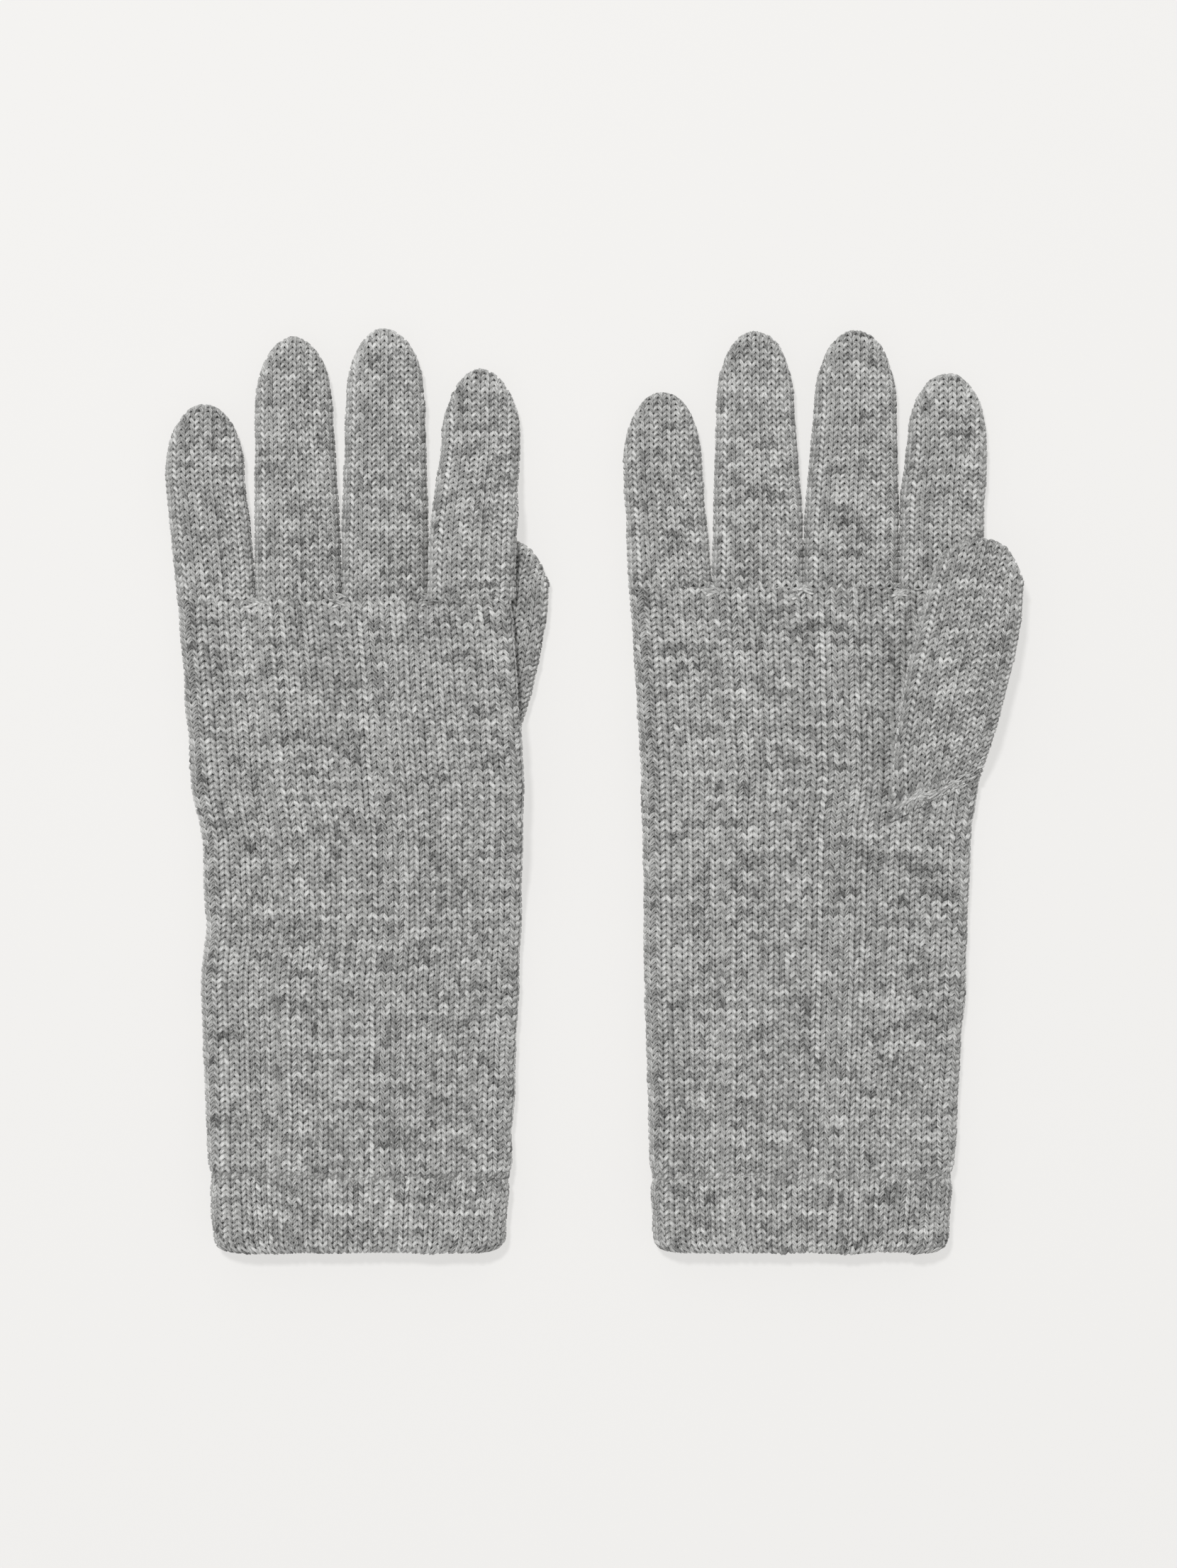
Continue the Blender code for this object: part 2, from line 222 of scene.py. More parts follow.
class RingFabric:
    """Fabric knitted in the round: the hand and the cuff, a flattened tube with round edges."""

    closed = True

    def __init__(self, sections: Sections, wales: int, seed: int, lift: Lift = no_lift, crotches: tuple = (),
                 crotch_y: float = 0.0, groove_y: float | None = None, dent: tuple = ()) -> None:
        """Lays the fabric along CAD sections.

        Args:
            sections: The tube's edges and height.
            wales: Columns of stitches all round.
            seed: Seed of the fabric's unevenness.
            lift: Function of (x, y) that raises the fabric.
            crotches: x of the gaps between fingers, where the top of the hand is drawn together.
            crotch_y: y of those gaps.
            groove_y: y of a linked line that pulls the fabric in, if there is one.
            dent: (x, y) points of a line along which the thumb presses the upper face down.
        """
        self.sections = sections
        self.wales = wales
        self.lift = lift
        self.crotches = crotches
        self.crotch_y = crotch_y
        self.groove_y = groove_y
        self.dent = np.array(dent)
        self.sway = Waves(seed)
        self.drift = Waves(seed + 1)
        self.loft = Waves(seed + 2, 7.0, 30.0)
        self.gauge = 3.0

    def path(self, v: Points, h: Points) -> tuple[Points, Points]:
        """y and the inset from the CAD's outer face, of a point v along the fabric and h above its middle."""
        return v, REST_INSET - h

    def edges(self, y: Points) -> tuple[Points, Points]:
        """Left and right edge of the outer face at y."""
        return self.sections.edges(y)

    def inside(self, a: Points, v: Points) -> Points:
        """Whether there is fabric at (a, v)."""
        return np.ones(np.broadcast(a, v).shape, bool)

    def place(self, a: Points, v: Points, h: Points) -> Points:
        """Points in space for wale a, length v and height h.

        Args:
            a: Wale numbers, from the left edge over the top face and back underneath.
            v: Distance along the fabric.
            h: Height above the middle of the layer.

        Returns:
            Array of points with one more axis than the arguments.
        """
        x_near = a * self.gauge
        h = h + 0.22 * self.loft(x_near, v)
        if self.groove_y is not None:
            pulled = bump(v - self.groove_y, 1.9)
            h = h - pulled * (0.75 + 0.25 * self.loft(x_near * 2, v))
        y, inset = self.path(v + 0.28 * self.drift(x_near, v), h)
        left, right = self.edges(y)
        top = self.sections.height(y)
        middle_radius = top / 2 - REST_INSET
        flat = right - left - top
        quarter = math.pi / 2 * middle_radius
        q = ((a + 0.035 * self.sway(x_near, v)) / self.wales % 1.0) * (2 * flat + 4 * quarter)
        zones = [q < quarter, q < quarter + flat, q < 3 * quarter + flat, q < 3 * quarter + 2 * flat]
        angle = np.select(
            zones,
            [math.pi - q / middle_radius, math.pi / 2, math.pi / 2 - (q - quarter - flat) / middle_radius,
             -math.pi / 2],
            -math.pi / 2 - (q - 3 * quarter - 2 * flat) / middle_radius,
        )
        along = np.select(zones, [0.0, q - quarter, flat, 4 * quarter + 2 * flat - q - quarter], 0.0)
        radius = top / 2 - inset
        x = left + top / 2 + along + radius * np.cos(angle)
        up = radius * np.sin(angle)
        for crotch in self.crotches:
            drawn = bump(x - crotch, 3.2) * smooth((y - self.crotch_y + 9.0) / 10.0)
            up = up * (1 - 0.55 * drawn)
        if len(self.dent):
            line_x = np.interp(y, self.dent[:, 1], self.dent[:, 0])
            within = smooth((y - self.dent[0, 1] + 2) / 4) * smooth((self.dent[-1, 1] + 2 - y) / 4)
            up = up - 1.5 * bump(x - line_x, 1.8) * within * (up > 0)
        return np.stack([x, y, top / 2 + up + self.lift(x, y)], -1)

    def wale_at(self, x: float, y: float) -> float:
        """The wale of the upper face at (x, y)."""
        left, right = self.edges(y)
        top = float(self.sections.height(y))
        quarter = math.pi / 2 * (top / 2 - REST_INSET)
        flat = right - left - top
        return (quarter + x - left - top / 2) / (2 * flat + 4 * quarter) * self.wales


class HemFabric(RingFabric):
    """The folded hem: down outside from the linked line, round the fold and up inside."""

    CORNER = 5.0
    FACING_INSET = 3.2
    FACING_LENGTH = 17.0

    def __init__(self, sections: Sections, wales: int, seed: int, linked_y: float, bottom_y: float) -> None:
        """Lays the hem.

        Args:
            sections: The band's edges and height.
            wales: Columns of stitches all round.
            seed: Seed of the fabric's unevenness.
            linked_y: y of the line where the hem is linked to the cuff.
            bottom_y: y of the lower edge.
        """
        super().__init__(sections, wales, seed)
        self.linked_y = linked_y
        self.fold_radius = (self.FACING_INSET - REST_INSET) / 2
        self.turn_y = bottom_y + REST_INSET + self.fold_radius
        self.bottom_y = bottom_y
        self.down = linked_y - self.turn_y
        self.length = self.down + math.pi * self.fold_radius + self.FACING_LENGTH

    def path(self, v: Points, h: Points) -> tuple[Points, Points]:
        """y and inset along the hairpin. v runs from 0 at the linked line to minus the hem's length."""
        run = -v
        turned = np.clip((run - self.down) / self.fold_radius, 0, math.pi)
        radius = self.fold_radius + h
        y = np.where(run < self.down, self.linked_y - run, self.turn_y - radius * np.sin(turned))
        y = y + np.maximum(run - self.down - math.pi * self.fold_radius, 0)
        pulled = 0.75 * bump(run, 1.9)
        return y, REST_INSET + self.fold_radius - radius * np.cos(turned) + pulled

    def edges(self, y: Points) -> tuple[Points, Points]:
        """Left and right edge, drawn in round the lower corners."""
        left, right = self.sections.edges(y)
        below = np.clip(self.bottom_y + self.CORNER - y, 0, 0.97 * self.CORNER)
        inset = self.CORNER - np.sqrt(self.CORNER**2 - below**2)
        return left + inset, right - inset


class FaceFabric:
    """One face of a finger or thumb. Wales run straight and end on the outline, where the two faces meet."""

    closed = False
    SOFTEN = 0.3  # mm over which the outline's straight bits melt together

    def __init__(self, outline: Points, rails: Points, wales: int, up: int, middle_z: Profile,
                 half_height: Profile, seed: int) -> None:
        """Lays a face of fabric.

        Args:
            outline: (x, y) points of the outer face, up the left side, over the tip, down the right.
            rails: Rows of (v, left x, left y, right x, right y): where a course at v starts and ends.
            wales: Columns of stitches across the face.
            up: 1 for the upper face, -1 for the lower.
            middle_z: Function of v: height of the tube's middle.
            half_height: Function of v: half the height between the two layers' middles.
            seed: Seed of the fabric's unevenness.
        """
        self.start = outline[:-1]
        step = np.diff(outline, axis=0)
        self.span = np.linalg.norm(step, axis=1)
        self.onward = step / self.span[:, None]
        self.rails = rails
        self.wales = wales
        self.up = up
        self.middle_z = middle_z
        self.half_height = half_height
        self.drift = Waves(seed)
        self.loft = Waves(seed + 1, 6.0, 22.0)
        self.gauge = 2.5

    def plan(self, a: Points, v: Points) -> tuple[Points, Points]:
        """(x, y) of the fabric laid flat."""
        rail_v = self.rails[:, 0]
        left_x, left_y, right_x, right_y = (np.interp(v, rail_v, self.rails[:, i]) for i in (1, 2, 3, 4))
        across_x, across_y = right_x - left_x, right_y - left_y
        width = np.hypot(across_x, across_y)
        fabric = width - 2 * REST_INSET + 2 * UNROLLED * self.half_height(v)
        share = 0.5 + self.up * (a / self.wales - 0.5) * fabric / width
        return left_x + across_x * share, left_y + across_y * share

    def inward(self, x: Points, y: Points) -> tuple[Points, Points, Points]:
        """Distance inside the edge of the fabric's middle surface, and the outward direction there."""
        gaps = []
        for (start_x, start_y), (tx, ty), span in zip(self.start, self.onward, self.span):
            ahead = (x - start_x) * tx + (y - start_y) * ty
            aside = (x - start_x) * ty - (y - start_y) * tx
            past = ahead - np.clip(ahead, 0, span)
            gaps.append(np.copysign(np.hypot(past, aside), aside))
        nearest = np.minimum.reduce([np.abs(gap) for gap in gaps])
        total = np.zeros_like(nearest)
        distance = np.zeros_like(nearest)
        out_x = np.zeros_like(nearest)
        out_y = np.zeros_like(nearest)
        for gap, (tx, ty) in zip(gaps, self.onward):
            weight = np.exp(-(np.abs(gap) - nearest) / self.SOFTEN)
            total += weight
            distance += weight * gap
            out_x -= weight * ty
            out_y += weight * tx
        length = np.hypot(out_x, out_y)
        return distance / total - REST_INSET, out_x / length, out_y / length

    def inside(self, a: Points, v: Points) -> Points:
        """Whether there is fabric at (a, v): not past the line where the two faces meet."""
        x, y = self.plan(a, v)
        distance, _, _ = self.inward(x, y)
        return distance + UNROLLED * self.half_height(v) > -0.25

    def place(self, a: Points, v: Points, h: Points) -> Points:
        """Points in space for wale a, length v and height h."""
        h = h + 0.18 * self.loft(a * self.gauge, v)
        x, y = self.plan(a, v + 0.35 * self.drift(a * self.gauge, v))
        distance, out_x, out_y = self.inward(x, y)
        radius = self.half_height(v)
        from_edge = distance + UNROLLED * radius
        turn = np.clip(math.pi / 2 - from_edge / radius, 0, 1.75)
        move = np.where(turn > 0, distance - radius * (1 - np.sin(turn)), 0.0) + h * np.sin(turn)
        z = self.middle_z(v) + self.up * (radius + h) * np.cos(turn)
        return np.stack([x + out_x * move, y + out_y * move, z], -1)


# ---------------------------------------------------------------------------------------------- yarn to mesh


@dataclass(frozen=True)
class Yarn:
    """A two-ply woollen yarn and how it lies in a stockinette loop."""

    leg_radius: float = 0.68  # the plump leg that shows on the face
    bend_radius: float = 0.36  # pinched where it dives behind its neighbours
    flatness: float = 0.86
    lean: float = 0.265  # sideways reach of the loop's waist, over the gauge
    reach: float = 0.76  # half the loop's height over one course
    depth: float = 0.54  # how far the legs stand in front of the heads
    dive: float = 1.2  # the smaller, the sooner a leg's ends dive
    plump: float = 2.6  # the greater, the shorter the plump part of a leg
    sides: int = 6


STEPS = np.array([0.0, 0.75, 1.3, 1.84, 2.39])  # samples along half a loop: head to foot
LOOP = np.concatenate([STEPS, STEPS + math.pi])


Fabric = RingFabric | FaceFabric


class QuadMesh:
    """Gathers quads with their maps and values, and makes one mesh of them."""

    def __init__(self) -> None:
        """Starts empty."""
        self.points, self.quads, self.bake, self.length, self.value, self.finish = [], [], [], [], [], []
        self.count = 0

    def add(self, points: Points, quads: Points, bake: Points, length: Points, value: Points,
            finish: int) -> None:
        """Adds quads.

        Args:
            points: (n, 3) points in mm.
            quads: (m, 4) indices into them.
            bake: (m, 4, 2) places in the bake map.
            length: (m, 4, 2) places round the yarn (turns) and along it (mm).
            value: (n,) shade of the wool.
            finish: Which of the mesh's materials they have.
        """
        self.points.append(points)
        self.quads.append(quads + self.count)
        self.bake.append(bake)
        self.length.append(length)
        self.value.append(value)
        self.finish.append(np.full(len(quads), finish, np.int32))
        self.count += len(points)

    def make(self, name: str, materials: list) -> bpy.types.Object:
        """The object, with unused points dropped.

        Args:
            name: Name of the object.
            materials: Its materials, in the order of the finish numbers.

        Returns:
            The object, linked to the scene.
        """
        quads = np.concatenate(self.quads)
        used, flat = np.unique(quads.ravel(), return_inverse=True)
        points = np.concatenate(self.points)[used] * MM
        mesh = bpy.data.meshes.new(name)
        mesh.vertices.add(len(points))
        mesh.vertices.foreach_set("co", points.astype(np.float32).ravel())
        mesh.loops.add(len(flat))
        mesh.loops.foreach_set("vertex_index", flat.astype(np.int32).ravel())
        mesh.polygons.add(len(quads))
        mesh.polygons.foreach_set("loop_start", np.arange(0, 4 * len(quads), 4, dtype=np.int32))
        mesh.polygons.foreach_set("material_index", np.concatenate(self.finish))
        for layer_name, layer in (("OFBake", self.bake), ("Yarn", self.length)):
            uv = mesh.uv_layers.new(name=layer_name)
            uv.uv.foreach_set("vector", np.concatenate(layer).astype(np.float32).ravel())
        shade = mesh.attributes.new("shade", "FLOAT", "POINT")
        shade.data.foreach_set("value", np.concatenate(self.value)[used].astype(np.float32))
        for material in materials:
            mesh.materials.append(material)
        mesh.update(calc_edges=True)
        mesh.shade_smooth()
        piece = bpy.data.objects.new(name, mesh)
        bpy.context.scene.collection.objects.link(piece)
        return piece


def tube_rings(centre: Points, radius: Points, gauge: float, yarn: Yarn) -> tuple[Points, Points, Points]:
    """Rings round strands of yarn, in fabric coordinates.

    Args:
        centre: (strands, points, 3) centre lines as wale, length, height.
        radius: (strands, points) radii.
        gauge: Millimetres per wale.
        yarn: The yarn.

    Returns:
        Arrays (strands, points, sides) of wale, length and height.
    """
    line = centre * (gauge, 1.0, 1.0)
    along = np.gradient(line, axis=1)
    along /= np.linalg.norm(along, axis=-1, keepdims=True)
    side = np.cross(along, (0.0, 0.0, 1.0))
    side /= np.linalg.norm(side, axis=-1, keepdims=True) + 1e-9
    over = np.cross(side, along) * yarn.flatness
    turn = np.arange(yarn.sides) * 2 * math.pi / yarn.sides
    ring = np.cos(turn)[:, None] * side[..., None, :] + np.sin(turn)[:, None] * over[..., None, :]
    ring = line[..., None, :] + ring * radius[..., None, None]
    return ring[..., 0] / gauge, ring[..., 1], ring[..., 2]


def add_strands(mesh: QuadMesh, surface: Fabric, centre: Points, radius: Points, value: Points, yarn: Yarn,
                keep: Points | None, rows: tuple[float, float], finish: int, closed: bool) -> None:
    """Adds strands of yarn laid on a surface.

    Args:
        mesh: Where the quads go.
        surface: The fabric surface.
        centre: (strands, points, 3) centre lines as wale, length, height.
        radius: (strands, points) radii.
        value: (strands, points) shade of the wool.
        yarn: The yarn.
        keep: (strands, spans) which spans between points are kept, or None for all.
        rows: Lowest and highest place of the strands in the bake map.
        finish: Material number.
        closed: Whether the last point of a strand joins its first.
    """
    strands, count = radius.shape
    a, v, h = tube_rings(centre, radius, surface.gauge, yarn)
    points = surface.place(a, v, h).reshape(-1, 3)
    spans = count if closed else count - 1
    numbers = (np.arange(strands), np.arange(spans), np.arange(yarn.sides))
    strand, span, side = np.meshgrid(*numbers, indexing="ij")
    ahead = (span + 1) % count
    beside = (side + 1) % yarn.sides
    corner = [(span, side), (ahead, side), (ahead, beside), (span, beside)]
    quads = np.stack([(strand * count + p) * yarn.sides + s for p, s in corner], -1)
    step = np.linalg.norm(np.diff(centre * (surface.gauge, 1, 1), axis=1), axis=-1)
    run = np.concatenate([np.zeros((strands, 1)), np.cumsum(step, 1), step.sum(1, keepdims=True) + 0.5], 1)
    ends = [(0, 0), (1, 0), (1, 1), (0, 1)]
    length = np.stack(
        [np.stack([(side + s) / yarn.sides, run[strand, span + p]], -1) for p, s in ends], -2)
    low, high = rows
    pitch = (high - low) / strands
    bake = np.stack(
        [np.stack([(span + 0.06 + 0.88 * p) / spans,
                   low + (strand + 0.04 + 0.92 * (side + s) / yarn.sides) * pitch], -1) for p, s in ends], -2)
    chosen = np.ones(strand.shape, bool) if keep is None else np.repeat(keep[..., None], yarn.sides, -1)
    shade = np.repeat(value.ravel(), yarn.sides)
    mesh.add(points, quads[chosen], bake[chosen], length[chosen], shade, finish)


def melange(rng: np.random.Generator, strands: int, count: int) -> Points:
    """How light or dark the blended wool is along each strand, near -1 to 1, in one value for each leg."""
    fine = rng.normal(size=(strands, count))
    coarse = rng.normal(size=(strands, count + 8))
    kernel = np.ones(5) / math.sqrt(5)
    coarse = np.stack([np.convolve(row, kernel, "same")[4:-4] for row in coarse])
    return 0.42 * fine + 0.34 * coarse


def knit(name: str, surface: Fabric | tuple, courses: Points, course_height: float, yarn: Yarn, seed: int,
         materials: list) -> bpy.types.Object:
    """A piece of stockinette over a surface, with a backing sheet behind its loops whose darker grey is
    painted shade.

    Args:
        name: Name of the piece.
        surface: The fabric surface.
        courses: v of the middle of each course.
        course_height: Distance between courses.
        yarn: The yarn.
        seed: Seed of the loops' unevenness.
        materials: Material of the yarn, then of the backing sheet, whose darker grey is painted shade.

    Returns:
        The piece.
    """
    rng = np.random.default_rng(seed)
    surfaces = surface if isinstance(surface, tuple) else (surface,)
    mesh = QuadMesh()
    for number, face in enumerate(surfaces):
        wales, rows = face.wales, len(courses)
        t = np.tile(LOOP, wales)
        i = np.repeat(np.arange(wales), len(LOOP))
        if not face.closed:
            t, i = np.append(t, 0.0), np.append(i, wales)
        nudge = rng.normal(0, 1, (rows, wales + 1, 4))
        leg = np.abs(np.sin(t))
        wander = leg**2
        a = i + t / (2 * math.pi) + yarn.lean * np.sin(2 * t) + 0.022 * wander * nudge[:, i, 0]
        v = courses[:, None] + yarn.reach * course_height * np.cos(t) + 0.09 * wander * nudge[:, i, 1]
        h = yarn.depth * (1 - 2 * np.abs(np.cos(t)) ** yarn.dive) + 0.06 * wander * nudge[:, i, 2]
        radius = yarn.bend_radius + (yarn.leg_radius - yarn.bend_radius) * leg**yarn.plump
        radius = radius * (1 + 0.06 * wander * nudge[:, i, 3])
        blend = melange(rng, rows, 2 * wales + 2)
        value = blend[:, 2 * i + (t >= math.pi - 0.01)]
        keep = face.inside(*np.meshgrid(np.arange(wales) + 0.5, courses))
        low = number / len(surfaces)
        high = low + 0.94 / len(surfaces)
        add_strands(mesh, face, np.stack([a, v, h], -1), radius, value, yarn, np.repeat(keep, len(LOOP), 1),
                    (low, high), 0, face.closed)
        # backing sheet behind the loops, coloured darker as painted shade
        add_backing_in_painted_shade(mesh, face, courses, course_height, keep, (high, low + 1 / len(surfaces)))
    return mesh.make(name, materials)


def add_backing_in_painted_shade(mesh: QuadMesh, face: Fabric, courses: Points, course_height: float, keep: Points,
               rows: tuple[float, float]) -> None:
    """Adds the backing sheet that shows between loops and closes the gaps; its darker grey is painted shade.

    Args:
        mesh: Where the quads go.
        face: The fabric surface.
        courses: v of the middle of each course.
        course_height: Distance between courses.
        keep: (courses, wales) where there are stitches.
        rows: Lowest and highest place in the bake map.
    """
    halves = 2 * face.wales
    lines = np.append(courses - course_height / 2, courses[-1] + course_height / 2)
    across = np.arange(halves + (0 if face.closed else 1)) / 2
    a, v = np.meshgrid(across, lines)
    points = face.place(a, v, np.full(a.shape, -0.30)).reshape(-1, 3)
    row, cell = np.meshgrid(np.arange(len(courses)), np.arange(halves), indexing="ij")
    ahead = (cell + 1) % len(across)
    width = len(across)
    quads = np.stack([row * width + cell, row * width + ahead,
                      (row + 1) * width + ahead, (row + 1) * width + cell], -1)
    low, high = rows
    ends = [(0, 0), (1, 0), (1, 1), (0, 1)]
    bake = np.stack(
        [np.stack([(cell + 0.05 + 0.9 * p) / halves,
                   low + (row + 0.05 + 0.9 * s) / len(courses) * (high - low)], -1) for p, s in ends], -2)
    chosen = np.repeat(keep, 2, 1)
    # material 1 is the backing's darker grey: painted shade between the loops
    mesh.add(points, quads[chosen], bake[chosen], bake[chosen] * (4.0, 40.0), np.zeros(len(points)), 1)


# --------------------------------------------------------------------------------------------------- finishes


def linear(colour: str) -> tuple[float, float, float, float]:
    """An sRGB hex colour as linear RGBA."""
    parts = [int(colour[i:i + 2], 16) / 255 for i in (1, 3, 5)]
    parts = [p / 12.92 if p <= 0.04045 else ((p + 0.055) / 1.055) ** 2.4 for p in parts]
    return (*parts, 1.0)


def add_node(tree: bpy.types.NodeTree, kind: str, settings: dict | None = None,
             links: dict | None = None) -> bpy.types.Node:
    """Adds a node with its settings and links.

    Args:
        tree: The node tree.
        kind: The node's type name.
        settings: Properties by name, and unlinked input values by input name or number.
        links: Output sockets by input name or number.

    Returns:
        The node.
    """
    node = tree.nodes.new(kind)
    for key, value in (settings or {}).items():
        if isinstance(key, str) and hasattr(node, key):
            setattr(node, key, value)
        else:
            node.inputs[key].default_value = value
    for key, socket in (links or {}).items():
        tree.links.new(socket, node.inputs[key])
    return node


@dataclass(frozen=True)
class MelangeWool:
    """Carded wool, blended from fleece dyed light and dark before spinning, then plied in twos and fulled.

    The blend gives short light and dark streaks along the yarn, the two plies a slanting groove, and the
    fulling a soft halo that catches light at the edges.
    """

    name: str
    dark: str
    middle: str
    light: str
    halo: float = 0.35
    ply_pitch: float = 3.2  # mm of yarn for one turn of a ply
    streak_length: float = 1.3
    streak_width: float = 0.4
    GIRTH = 4.4  # mm round the yarn

    def make(self) -> bpy.types.Material:
        """The material."""
        material = bpy.data.materials.new(self.name)
        material.use_nodes = True
        tree = material.node_tree
        shader = tree.nodes["Principled BSDF"]
        shade = add_node(tree, "ShaderNodeAttribute", {"attribute_name": "shade"})
        yarn_map = add_node(tree, "ShaderNodeUVMap", {"uv_map": "Yarn"})
        spread = (self.GIRTH / self.streak_width, 1 / self.streak_length, 1.0)
        fibres_at = add_node(tree, "ShaderNodeVectorMath", {"operation": "MULTIPLY", 1: spread},
                             {0: yarn_map.outputs[0]})
        fibres = add_node(tree, "ShaderNodeTexNoise",
                          {"noise_dimensions": "2D", "Scale": 1.0, "Detail": 3.0, "Roughness": 0.62},
                          {"Vector": fibres_at.outputs[0]})
        mixed = add_node(tree, "ShaderNodeMath", {"operation": "MULTIPLY_ADD", 1: 1.5, 2: -0.25},
                         {0: fibres.outputs[0]})
        toned = add_node(tree, "ShaderNodeMath", {"operation": "MULTIPLY_ADD", 1: 0.20},
                         {0: shade.outputs["Fac"], 2: mixed.outputs[0]})
        ramp = add_node(tree, "ShaderNodeValToRGB", {}, {0: toned.outputs[0]})
        stops = ramp.color_ramp.elements
        stops[0].position, stops[0].color = 0.12, linear(self.dark)
        stops[1].position, stops[1].color = 0.88, linear(self.light)
        middle = stops.new(0.5)
        middle.color = linear(self.middle)
        around = add_node(tree, "ShaderNodeSeparateXYZ", {}, {0: yarn_map.outputs[0]})
        turned = add_node(tree, "ShaderNodeMath", {"operation": "MULTIPLY", 1: 4 * math.pi},
                          {0: around.outputs[0]})
        climb = add_node(tree, "ShaderNodeMath",
                         {"operation": "MULTIPLY_ADD", 1: 2 * math.pi / self.ply_pitch},
                         {0: around.outputs[1], 2: turned.outputs[0]})
        groove = add_node(tree, "ShaderNodeMath", {"operation": "COSINE"}, {0: climb.outputs[0]})
        relief = add_node(tree, "ShaderNodeMath", {"operation": "MULTIPLY_ADD", 1: 0.5},
                          {0: groove.outputs[0], 2: fibres.outputs[0]})
        ridge = add_node(tree, "ShaderNodeBump", {"Strength": 0.8, "Distance": 0.12 * MM},
                         {"Height": relief.outputs[0]})
        tree.links.new(ramp.outputs[0], shader.inputs["Base Color"])
        tree.links.new(ridge.outputs[0], shader.inputs["Normal"])
        shader.inputs["Roughness"].default_value = 0.95
        shader.inputs["Specular IOR Level"].default_value = 0.15
        shader.inputs["Sheen Weight"].default_value = self.halo
        shader.inputs["Sheen Roughness"].default_value = 0.55
        return material


@dataclass(frozen=True)
class PaintedShadeBehindLoops:
    """A sheet behind the loops, coloured a dull grey darker than the yarn as painted shade of the loops."""

    name: str
    colour: str

    def make(self) -> bpy.types.Material:
        """The material."""
        material = bpy.data.materials.new(self.name)
        material.use_nodes = True
        shader = material.node_tree.nodes["Principled BSDF"]
        shader.inputs["Base Color"].default_value = linear(self.colour)
        shader.inputs["Roughness"].default_value = 1.0
        shader.inputs["Specular IOR Level"].default_value = 0.0
        return material


@dataclass(frozen=True)
class Finishes:
    """Every finish of the pair, made once."""

    wool: bpy.types.Material
    hem: bpy.types.Material
    thread: bpy.types.Material
    # the backing between loops, its dark grey painted shade
    inside: bpy.types.Material

    @classmethod
    def make(cls) -> "Finishes":
        """Makes the finishes."""
        return cls(
            wool=MelangeWool("melange_wool", "#555554", "#B2B2B0", "#E8E8E6").make(),
            hem=MelangeWool("melange_wool_hem", "#555554", "#B6B6B4", "#ECECEA").make(),
            # painted shade: the linking yarn's darker greys stand for the shade in the linked groove
            thread=MelangeWool("linking_yarn_painted_shade", "#585857", "#8C8C8A", "#BCBCBA", halo=0.2).make(),
            # painted shade: the backing's dark grey stands for the shade between the loops
            inside=PaintedShadeBehindLoops("painted_shade_behind_loops", "#474746").make(),
        )


# ---------------------------------------------------------------------------------------------------- gloves


@dataclass(frozen=True)
class Pair:
    """What the two gloves share."""

    course: float = 1.77
    round_wales: int = 62
    hem_course: float = 1.72
    finger_wales: tuple = (("pinky", 10), ("ring", 11), ("middle", 11), ("index", 10))
    blend_reach: float = 5.0  # how far short of a fold the fabric is cut into pieces
    tip_rounding: float = 0.9  # length of a rounded fingertip over the finger's width
    outer_fuzz: float = 0.3  # how far the wool stands out past the CAD's outer sides
    partings: tuple = (("right", (62.8, 74.8, 80.8)), ("left", (62.8, 70.8, 70.8)))  # y where fingers part
    thumb: ThumbShape = ThumbShape()
    yarn: Yarn = Yarn()
    hem_yarn: Yarn = Yarn(leg_radius=0.66)
    finger_yarn: Yarn = Yarn(leg_radius=0.60, bend_radius=0.33)


